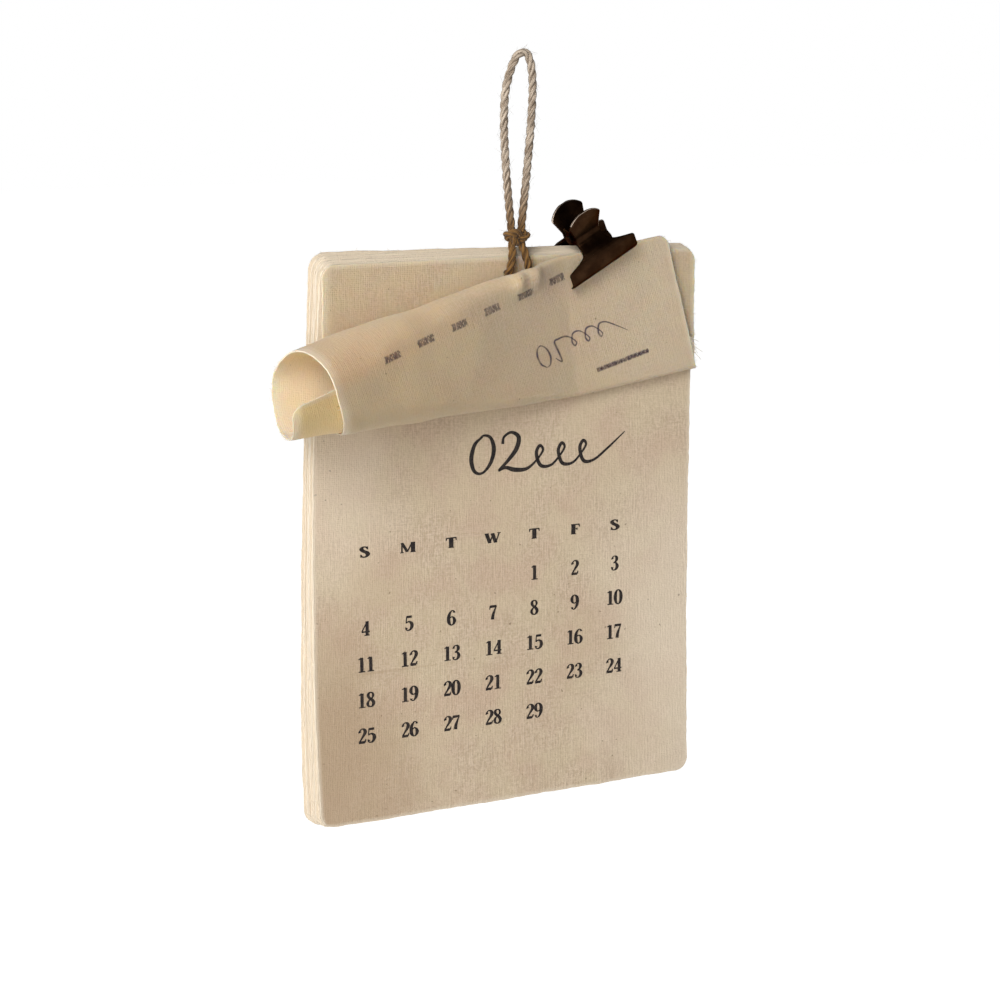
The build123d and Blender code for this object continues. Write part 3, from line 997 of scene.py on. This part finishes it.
# %% [markdown]
# ## Loose threads of the cut edges
#
# The pages are cut and not hemmed, so their edges shed short threads, and a tuft of longer ones hangs at the
# right end of the roll. They are tubes again, set on the outline of the pages and along the cut sides of the
# rolled sheet.

# %% Lines of the threads
THREAD_R = 0.045
EDGE_THREADS = 900
ROLL_THREADS = 420
TUFT_THREADS = 9
TUFT_R = 0.12
PAGE_THREAD_LENGTH = (0.3, 1.1)
ROLL_THREAD_LENGTH = (0.3, 1.3)
TUFT_LENGTH = (2.2, 4.6)
THREAD_SIDES = 4


def thread_line(start, way, sideways, length, curl):
    """A short curved thread that begins just inside the cloth."""
    steps = np.linspace(-0.12, 1.0, HAIR_RINGS)[:, None]
    return np.array(start) + np.array(way) * length * steps + np.array(sideways) * curl * steps ** 2


def page_threads(draw):
    """Threads that stand off the outline of the pages."""
    lines = []
    for _ in range(EDGE_THREADS):
        i = draw.randrange(LEAVES)
        share = draw.random()
        start = border_place(i, share)
        tangent = (border_place(i, (share + 0.002) % 1) - border_place(i, (share - 0.002) % 1)).normalized()
        out = Vector((tangent.z, draw.uniform(-0.5, 0.5), -tangent.x)).normalized()
        lean = (out + tangent * draw.uniform(-0.9, 0.9)).normalized()
        length = draw.uniform(*PAGE_THREAD_LENGTH)
        lines.append(thread_line(start, lean, tangent, length, draw.uniform(-0.5, 0.5)))
    return lines


def roll_threads(draw):
    """Threads that stand off the cut sides and the cut end of the rolled sheet."""
    lines = []
    for _ in range(ROLL_THREADS):
        down = draw.uniform(0.02, 1.0)
        across = draw.choice((0.0, 1.0))
        inner = 0.01 if across == 0.0 else 0.99
        if draw.random() < 0.25:
            across, down = draw.random(), 1.0
            out = page_spot(across, 1.0) - page_spot(across, 0.994)
            side = page_spot(min(1.0, across + 0.01), 1.0) - page_spot(across, 1.0)
        else:
            out = page_spot(across, down) - page_spot(inner, down)
            side = page_spot(across, min(1.0, down + 0.004)) - page_spot(across, down - 0.004)
        start = page_spot(across, down)
        lean = (out.normalized() + side.normalized() * draw.uniform(-0.7, 0.7)).normalized()
        length = draw.uniform(*ROLL_THREAD_LENGTH)
        lines.append(thread_line(start, lean, side.normalized(), length, draw.uniform(-0.6, 0.6)))
    return lines


def tuft(draw):
    """Longer threads at the lower right end of the roll."""
    lines = []
    for _ in range(TUFT_THREADS):
        start = page_spot(1.0, draw.uniform(0.27, 0.30))
        way = Vector((0.75, draw.uniform(-0.35, 0.1), draw.uniform(-0.95, -0.35))).normalized()
        length = draw.uniform(*TUFT_LENGTH)
        lines.append(thread_line(start, way, (0.6, 0.0, 0.5), length, draw.uniform(-0.8, 0.8)))
    return lines


print("a thread is", 2 * THREAD_R, "mm thick")

# %% Threads on the edges
draw = random.Random(23)
thread_lines = page_threads(draw)
roll_lines = roll_threads(draw) + tuft(draw)
thread_taper = THREAD_R * np.linspace(1.0, 0.5, HAIR_RINGS)
page_tapers = [thread_taper] * EDGE_THREADS
roll_tapers = [thread_taper] * ROLL_THREADS + [TUFT_R / THREAD_R * thread_taper] * TUFT_THREADS
edge_threads = add_tubes("page_edge_threads", thread_lines, page_tapers, THREAD_SIDES, edge_cotton)
roll_edge_threads = add_tubes("roll_edge_threads", roll_lines, roll_tapers, THREAD_SIDES, edge_cotton)
for piece, slot in ((edge_threads, "cotton_pages"), (roll_edge_threads, "cotton_roll")):
    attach(piece, BODY)
print("threads:", len(thread_lines), "on the pages,", len(roll_lines), "on the roll")

# %% [markdown]
# ## Printed numbers
#
# The dates are printed in a bold face with thick and thin strokes. Each figure is written here as a pen would
# write it: a few strokes, each a list of points with half the width of the pen at that point, in shares of
# the figure's height. A stroke becomes a ribbon that lies on the page and follows its waves.

# %% Strokes of the figures
FIGURES = {
    "0": [[(.26, 1, .035), (.12, .86, .07), (.07, .5, .095), (.12, .14, .07), (.26, 0, .035),
          (.4, .14, .07), (.45, .5, .095), (.4, .86, .07), (.26, 1, .035)]],
    "1": [[(.28, .02, .085), (.28, .98, .085)], [(.09, .86, .03), (.27, .97, .05)], [(.08, .03, .03),
          (.48, .03, .03)]],
    "2": [[(.13, .74, .085), (.11, .82, .06), (.18, .95, .035), (.29, .99, .04), (.4, .92, .075),
          (.44, .76, .09), (.37, .57, .075), (.24, .36, .05), (.09, .1, .04)], [(.05, .075, .075),
          (.42, .075, .075)], [(.42, .06, .05), (.48, .27, .025)]],
    "3": [[(.13, .78, .08), (.12, .86, .055), (.19, .96, .035), (.28, .99, .04), (.38, .92, .07),
          (.41, .77, .085), (.34, .61, .055), (.2, .53, .03)], [(.2, .53, .03), (.36, .49, .055),
          (.44, .3, .09), (.38, .09, .07), (.25, .01, .04), (.13, .04, .035), (.1, .14, .055),
          (.13, .21, .08)]],
    "4": [[(.36, .02, .085), (.36, .98, .085)], [(.37, .97, .035), (.05, .3, .035)], [(.02, .27, .045),
          (.52, .27, .045)], [(.19, .03, .03), (.52, .03, .03)]],
    "5": [[(.11, .92, .07), (.45, .92, .07)], [(.13, .94, .03), (.1, .5, .03)], [(.1, .5, .03),
          (.2, .58, .04), (.32, .58, .055), (.43, .46, .085), (.45, .27, .09), (.37, .08, .065),
          (.24, .01, .04), (.13, .04, .035), (.1, .13, .055), (.13, .2, .08)]],
    "6": [[(.42, .83, .075), (.42, .91, .05), (.34, .985, .03), (.23, .93, .045), (.12, .72, .08),
          (.08, .42, .095), (.11, .17, .085), (.2, .03, .05), (.29, 0, .035), (.4, .09, .065),
          (.45, .28, .09), (.4, .47, .065), (.3, .56, .035), (.19, .51, .035), (.11, .38, .03)]],
    "7": [[(.05, .92, .075), (.47, .92, .075)], [(.06, .96, .03), (.04, .72, .025)], [(.46, .94, .03),
          (.35, .66, .05), (.25, .34, .08), (.21, .02, .095)]],
    "8": [[(.26, .99, .035), (.14, .92, .065), (.11, .77, .08), (.18, .62, .07), (.34, .47, .08),
          (.44, .27, .085), (.38, .08, .065), (.26, .01, .035), (.13, .08, .06), (.08, .25, .075),
          (.16, .43, .05), (.33, .58, .04), (.41, .76, .06), (.37, .92, .05), (.26, .99, .035)]],
    "9": [[(.11, .17, .075), (.11, .09, .05), (.19, .015, .03), (.3, .07, .045), (.41, .28, .08),
          (.45, .58, .095), (.42, .83, .085), (.33, .97, .05), (.24, 1, .035), (.13, .91, .065),
          (.08, .72, .09), (.13, .53, .065), (.23, .44, .035), (.34, .49, .035), (.42, .62, .03)]],
    "S": [[(.4, .8, .035), (.34, .95, .04), (.22, .99, .045), (.12, .9, .07), (.1, .76, .085),
          (.2, .59, .09), (.36, .44, .095), (.43, .25, .085), (.36, .07, .06), (.23, .01, .045),
          (.12, .06, .04), (.07, .22, .035)], [(.41, 1, .025), (.41, .72, .025)], [(.065, 0, .025),
          (.065, .28, .025)]],
    "M": [[(.12, .02, .03), (.12, .98, .03)], [(.12, .98, .06), (.4, .08, .06)], [(.4, .06, .03),
          (.66, .98, .03)], [(.7, .02, .085), (.7, .98, .085)], [(.02, .03, .03), (.22, .03, .03)],
          [(.56, .03, .03), (.84, .03, .03)]],
    "T": [[(.3, .02, .09), (.3, .95, .09)], [(.03, .955, .045), (.57, .955, .045)], [(.05, .98, .03),
          (.03, .7, .02)], [(.55, .98, .03), (.57, .7, .02)], [(.15, .03, .03), (.45, .03, .03)]],
    "W": [[(.09, .97, .08), (.27, .03, .07)], [(.27, .03, .03), (.45, .95, .03)], [(.41, .97, .08),
          (.59, .03, .07)], [(.59, .03, .03), (.78, .97, .03)], [(-.01, .97, .03), (.22, .97, .03)],
          [(.67, .97, .03), (.87, .97, .03)]],
    "F": [[(.17, .02, .09), (.17, .97, .09)], [(.04, .955, .045), (.5, .955, .045)], [(.49, .98, .03),
          (.51, .7, .02)], [(.17, .52, .035), (.37, .52, .035)], [(.37, .63, .025), (.37, .41, .025)],
          [(.04, .03, .03), (.32, .03, .03)]],
}


print("figures:", "".join(FIGURES))


# %% Ribbons along strokes
def through(points, steps):
    """A smooth line through the points of a stroke, each with its half width."""
    if len(points) == 2:
        return [points[0], points[1]]
    ends = [points[0], *points, points[-1]]
    if points[0] == points[-1]:
        ends = [points[-2], *points, points[1]]
    line = []
    for k in range(1, len(ends) - 2):
        a, b, c, d = (np.array(ends[k + n], float) for n in (-1, 0, 1, 2))
        for t in np.arange(steps) / steps:
            line.append(0.5 * (2 * b + (c - a) * t + (2 * a - 5 * b + 4 * c - d) * t**2
                               + (3 * b - a - 3 * c + d) * t**3))
    return [*line, np.array(points[-1], float)]


def wide_of(text):
    """Widths of the figures of a word, in shares of its height."""
    wide = {"M": 0.92, "W": 0.92, "T": 0.62}
    return [wide.get(letter, 0.54) for letter in text]


def ribbons(strokes, place, steps=6, widen=1.0):
    """Points and faces of flat ribbons along strokes; place(x, y) carries them to the cloth."""
    verts, faces, sides = [], [], []
    for stroke in strokes:
        line = through(stroke, steps)
        ways = np.gradient(np.array([point[:2] for point in line], float), axis=0)
        for point, way in zip(line, ways):
            flat = np.array((-way[1], way[0])) / max(1e-9, math.hypot(*way)) * point[2] * widen
            verts += [place(*(point[:2] + flat)), place(*(point[:2] - flat))]
            sides += [0.0, 1.0]
        base = len(verts) - 2 * len(line)
        for k in range(len(line) - 1):
            low = base + 2 * k
            faces.append((low, low + 1, low + 3, low + 2))
    return verts, faces, sides


print("ribbon builder ready")

# %% [markdown]
# ## Where the print lies
#
# The month heading, the row of day initials and the dates stand in the places that such a page gives them.
# The heading is a plain month number with a pen flourish, because a name isn't needed to tell what it is.
# The ink is sunk in the weave, so its finish lets the threads break it a little.

# %% Ink
INK_COLOUR = (0.016, 0.013, 0.014, 1.0)
INK_WORN = (0.085, 0.065, 0.05, 1.0)
INK_WEAR = 0.4

ink, tree, shader = new_finish("ink")
cloth = weave_at(tree, cloth_place(tree, False))
worn = times(tree, calc(tree, "SUBTRACT", 1.0, cloth["Streak"]), INK_WEAR)
tree.links.new(blend_colour(tree, worn, INK_COLOUR, INK_WORN), shader.inputs["Base Color"])
settle(shader, {"Roughness": 0.8, "Specular IOR Level": 0.2})
roughen(tree, shader, cloth["Height"], 0.5, 0.00018)
print("finish:", ink.name)

# %% Places of the print
COLUMN_X = -50.35
COLUMN_PITCH = 13.595
ROW_Z = -147.99
ROW_PITCH = 10.459
DATE_H = 4.3
INITIAL_Z = -136.38
INITIAL_H = 3.0
INITIAL_STRETCH = 2.0
INITIAL_BOLD = 1.35
DATE_STRETCH = 1.2
DATE_BOLD = 1.18
HEADING_BOLD = 1.65
FIRST_COLUMN = 4
DAYS = 29
INITIALS = "SMTWTFS"
HEADING_X = -17.0
HEADING_Z = -117.2
INK_LIFT = 0.035
HEADING = [
    [(4.2, 10.6, .12), (1.6, 8.6, .34), (.4, 4.4, .42), (1.4, .8, .32), (3.9, .1, .22), (6.6, 2.8, .34),
     (7.7, 6.8, .42), (6.6, 10.2, .3), (4.2, 10.9, .18), (2.6, 9.4, .12)],
    [(10.6, 8, .3), (11, 10, .24), (13.4, 11.2, .26), (15.8, 9.6, .42), (15, 6.2, .44), (12, 2.8, .32),
     (9.2, .4, .2), (11.4, 1.1, .3), (14.6, .2, .4), (18.4, .2, .3), (21.6, 2.4, .2), (23.8, 5.2, .24),
     (22.7, 6.6, .3), (21.6, 4.4, .34), (23, .8, .34), (26.4, .6, .24), (29.4, 3.2, .2), (31, 5.6, .24),
     (30, 6.8, .3), (28.9, 4.6, .34), (30.2, .9, .34), (33.6, .7, .24), (36.6, 3.4, .2), (38.2, 5.8, .24),
     (37.2, 7, .3), (36.1, 4.8, .34), (37.4, 1, .34), (40.8, 1, .24), (45.4, 4, .22), (51.4, 8.6, .1)],
]


print("heading of", len(HEADING), "strokes")


# %% Words as ribbons
def on_page(x, z):
    """A place just in front of the front page."""
    return Vector((x, 0.5 * (LEAF_PITCH - LEAF_T) - page_lift(x, z) - INK_LIFT, z)) * MM


def set_word(text, centre_x, middle_z, tall, place, stretch=1.0, widen=1.0):
    """Ribbons of a short word of figures, centred at a place, stretched sideways and with wider strokes."""
    widths = wide_of(text)
    wide = tall * stretch
    x = centre_x - sum(widths) * wide / 2
    made = []
    for letter, width in zip(text, widths):
        def spot(a, b, x=x):
            return place(x + a * wide, middle_z + (b - 0.5) * tall)
        made.append(ribbons(FIGURES[letter], spot, widen=widen))
        x += width * wide
    return made


def add_ribbons(name, groups, finish, strengths):
    """One mesh of all the ribbons of a print, whose UV map holds the side of a ribbon and its strength."""
    verts, faces, sides = [], [], []
    for (points, quads, edges), strength in zip(groups, strengths):
        faces += [tuple(k + len(verts) for k in quad) for quad in quads]
        verts += points
        sides += [(edge, strength) for edge in edges]
    mesh = bpy.data.meshes.new(name)
    mesh.from_pydata([tuple(v) for v in verts], [], faces)
    layer = mesh.uv_layers.new(name="UVMap")
    for loop in mesh.loops:
        layer.data[loop.index].uv = sides[loop.vertex_index]
    piece = new_piece(name, mesh, finish)
    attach(piece, BODY)


print("print lies", INK_LIFT, "mm above the cloth")

# %% Print on the front page
groups = [ribbons(HEADING, lambda a, b: on_page(HEADING_X + a, HEADING_Z + b), widen=HEADING_BOLD)]
columns = [COLUMN_X + k * COLUMN_PITCH for k in range(len(INITIALS))]
for x, letter in zip(columns, INITIALS):
    groups += set_word(letter, x, INITIAL_Z, INITIAL_H, on_page, INITIAL_STRETCH, INITIAL_BOLD)
for day in range(1, DAYS + 1):
    row, column = divmod(day - 1 + FIRST_COLUMN, len(columns))
    z = ROW_Z - row * ROW_PITCH
    groups += set_word(str(day), columns[column], z, DATE_H, on_page, DATE_STRETCH, DATE_BOLD)
add_ribbons("date_print", groups, ink, [1.0] * len(groups))
print("printed dates:", DAYS)

# %% [markdown]
# ## Print that shows through the roll
#
# The rolled page carries the month before, and its print shows through the thin cloth from behind: turned
# over, grey and soft. Those marks lie on the outside of the roll. Their ribbons are wider, and they fade to
# nothing at both sides, which gives the blur of ink seen through cotton.

# %% Show-through finish
GHOST_COLOUR = (0.135, 0.10, 0.115, 1.0)
GHOST_STRENGTH = 0.75
GHOST_X = 6.0
GHOST_Z = -117.0
GHOST_SIZE = 0.62
GHOST_BOLD = 2.2
GHOST_WORDS = 6
GHOST_COLUMN_X = -41.9
GHOST_COLUMN_PITCH = 12.2
GHOST_ROW_Z = -133.4
GHOST_LINE = (24.8, -103.6, 18.4, 0.9)
GHOST_MARK = (6.0, 1.8)
GHOST_PALE = 0.62
BLUR_ROWS = 5
BLUR_HALF = 0.46
GHOST_HEADING = [
    HEADING[0],
    [(10.4, 8.6, .14), (13.6, 11.2, .3), (12.8, 6.0, .42), (11.8, 1.0, .4), (14.4, .4, .3), (18.4, .6, .3),
     *HEADING[1][10:]],
]

ghost, tree, shader = new_finish("ghost_ink")
side, strength = parts_of(tree, uv_place(tree))[:2]
off_middle = calc(tree, "ABSOLUTE", calc(tree, "MULTIPLY_ADD", side, 2.0, -1.0))
patchy = cloudy(tree, cloth_place(tree, False), 0.5, 2.0)
soft = ease(tree, calc(tree, "SUBTRACT", 1.0, off_middle), 0.0, 0.9)
tree.links.new(times(tree, soft, patchy, strength, 2 * GHOST_STRENGTH), shader.inputs["Alpha"])
settle(shader, {"Base Color": GHOST_COLOUR, "Roughness": 0.9, "Specular IOR Level": 0.1})
print("finish:", ghost.name)


# %% Marks on the outside of the roll
def under_page(x, z):
    """A place on the outside of the roll, behind the print that the page carries at x and z."""
    p = x - LEFT_X
    v = roll_length(p, TOP_Z - z)
    middle = sheet_place(p, v)
    ahead = sheet_place(p, v + 0.2) - middle
    beside = sheet_place(p + 0.2, v) - middle
    return (middle + beside.cross(ahead).normalized() * (SHEET_T / 2 + INK_LIFT)) * MM


def blurred_word(x, z, long, tall, draw):
    """Ribbons of a word too blurred to read: rows of soft dashes that overlap and begin and end unevenly."""
    strokes = []
    for row in range(BLUR_ROWS):
        up = z + tall * (row / (BLUR_ROWS - 1) - 0.5)
        at = x + draw.uniform(0.0, 0.5)
        stop = x + long - draw.uniform(0.0, 0.5)
        while at < stop:
            end = min(stop, at + draw.uniform(0.7, 1.7))
            strokes.append([(at, up, BLUR_HALF), (end, up, BLUR_HALF)])
            at = end + draw.uniform(0.0, 0.35)
    return ribbons(strokes, under_page)


def ghost_spot(a, b):
    """A place of the small heading on the outside of the roll."""
    return under_page(GHOST_X + GHOST_SIZE * a, GHOST_Z + GHOST_SIZE * b)


groups = [ribbons(GHOST_HEADING, ghost_spot, widen=GHOST_BOLD)]
draw = random.Random(5)
for k in range(GHOST_WORDS):
    x = GHOST_COLUMN_X + k * GHOST_COLUMN_PITCH - GHOST_MARK[0] / 2
    groups.append(blurred_word(x, GHOST_ROW_Z, *GHOST_MARK, draw))
groups.append(blurred_word(*GHOST_LINE, draw))
add_ribbons("ghost_print", groups, ghost, [1.0] + [GHOST_PALE] * GHOST_WORDS + [GHOST_PALE])
print("show-through ribbons:", len(groups))

# %% [markdown]
# ## The clip
#
# The clip is a small spring clip in antiqued bronze. Its levers come from the construction as sharp sheet
# parts. A copy of each is merged, its flat triangles are dissolved, and a fine bevel rounds its edges. The
# rim of the sheet gets a brighter finish on the handles, where fingers have rubbed off the dark coating. The
# legs of the spring are kept short and the front one leans back, which leaves the lever room to open.


# %% Bronze finishes
def bronze(name, deep, warm, roughness, worn):
    """Antiqued metal with soft clouds and fine scratches."""
    made, tree, shader = new_finish(name)
    place = object_place(tree)
    clouds = cloudy(tree, place, 260.0, 5.0)
    scratches = ease(tree, cloudy(tree, stretched(tree, place, (500.0, 500.0, 4200.0)), 1.0, 3.0), 0.62, 0.75)
    colour = blend_colour(tree, ease(tree, clouds, 0.3, 0.75), deep, warm)
    colour = blend_colour(tree, times(tree, scratches, worn), colour, WORN_BRONZE)
    tree.links.new(colour, shader.inputs["Base Color"])
    settle(shader, {"Metallic": 1.0, "Specular Tint": GRAZING_BRONZE})
    spread = calc(tree, "MULTIPLY_ADD", clouds, 0.25, roughness - 0.12)
    tree.links.new(spread, shader.inputs["Roughness"])
    roughen(tree, shader, clouds, 0.15, 0.0001)
    return made


WORN_BRONZE = (0.16, 0.11, 0.075, 1.0)
GRAZING_BRONZE = (0.42, 0.30, 0.23, 1.0)
clip_bronze = bronze("clip_bronze", (0.018, 0.0078, 0.0038, 1), (0.040, 0.0195, 0.0095, 1), 0.34, 0.10)
edge_bronze = bronze("edge_bronze", (0.20, 0.15, 0.115, 1), (0.62, 0.51, 0.42, 1), 0.42, 0.5)
pin_bronze = bronze("pin_bronze", (0.03, 0.02, 0.014, 1), (0.08, 0.058, 0.042, 1), 0.36, 0.3)
spring_wire = bronze("spring_wire", (0.16, 0.15, 0.14, 1), (0.33, 0.32, 0.30, 1), 0.34, 0.3)
print("bronze finishes ready")

# %% Levers
EDGE_ROUND = 0.17
RIM_WIDTH = 0.7
MERGE = 0.00006
SHARP = math.radians(50)
HANDLE_UP = 2.0
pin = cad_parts["clip_pin"]
pin_middle = Vector(np.mean([list(corner) for corner in pin.bound_box], axis=0))


def handle_rim(shape, lowest):
    """The narrow faces between two sharp edges, above a height: the rim of the sheet on a handle."""
    found = []
    for face in shape.faces:
        sharp = sum(edge.calc_face_angle(0.0) > SHARP for edge in face.edges)
        width = face.calc_area() / (face.calc_perimeter() / 2)
        if sharp > 1 and width < RIM_WIDTH * MM and face.calc_center_median().z > lowest:
            found.append(face)
    return found


def rounded_lever(name, node, body):
    """A lever from its construction node, with rounded edges and a worn rim on its handle."""
    piece = new_piece(name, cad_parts[node].data.copy(), clip_bronze, edge_bronze)
    lowest = pin_middle.z + HANDLE_UP * MM
    pick(piece)
    bpy.ops.object.mode_set(mode="EDIT")
    bpy.ops.mesh.select_all(action="SELECT")
    bpy.ops.mesh.remove_doubles(threshold=MERGE)
    bpy.ops.mesh.dissolve_limited(angle_limit=math.radians(1.0))
    shape = bmesh.from_edit_mesh(piece.data)
    rim = handle_rim(shape, lowest)
    for face in rim:
        face.material_index = 1
    worn_faces = len(rim)
    bmesh.update_edit_mesh(piece.data)
    bpy.ops.object.mode_set(mode="OBJECT")
    finish_with(piece, "BEVEL", width=EDGE_ROUND * MM, segments=2, limit_method="ANGLE",
                angle_limit=math.radians(40), material=1, use_clamp_overlap=False)
    for face in piece.data.polygons:
        if face.center.z < lowest:
            face.material_index = 0
    pick(piece)
    bpy.ops.object.shade_smooth_by_angle(angle=math.radians(35))
    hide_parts(node)
    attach(piece, body)
    print(name, len(piece.data.polygons), "faces,", worn_faces, "of the rim worn")


rounded_lever("front_lever_rounded", "clip_front_lever", "front_lever")
rounded_lever("back_lever_rounded", "clip_back_lever", BODY)

# %% Spring and pin
CLIP_TURN = math.radians(29.0)
PIN_WAY = Vector((-math.cos(CLIP_TURN), 0.0, -math.sin(CLIP_TURN)))
LEG_LEAN = math.radians(25.0)
LEG_KEPT = 0.62
COIL_REACH = 1.7


def leaning_spring(name, node):
    """The spring from its construction node, with shorter legs and the front one turned back."""
    piece = new_piece(name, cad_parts[node].data.copy(), spring_wire)
    lean = Matrix.Rotation(LEG_LEAN, 3, PIN_WAY)
    moved = 0
    for vertex in piece.data.vertices:
        arm = vertex.co - pin_middle
        beside = arm.dot(PIN_WAY) * PIN_WAY
        reach = (arm - beside) * LEG_KEPT
        if reach.length > LEG_KEPT * COIL_REACH * MM:
            vertex.co = pin_middle + beside + (lean @ reach if arm.y < 0 else reach)
            moved += 1
    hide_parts(node)
    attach(piece, BODY)
    print(name, moved, "points of the legs moved")


leaning_spring("spring_leaning", "clip_spring")
pin.data.materials.clear()
pin.data.materials.append(pin_bronze)
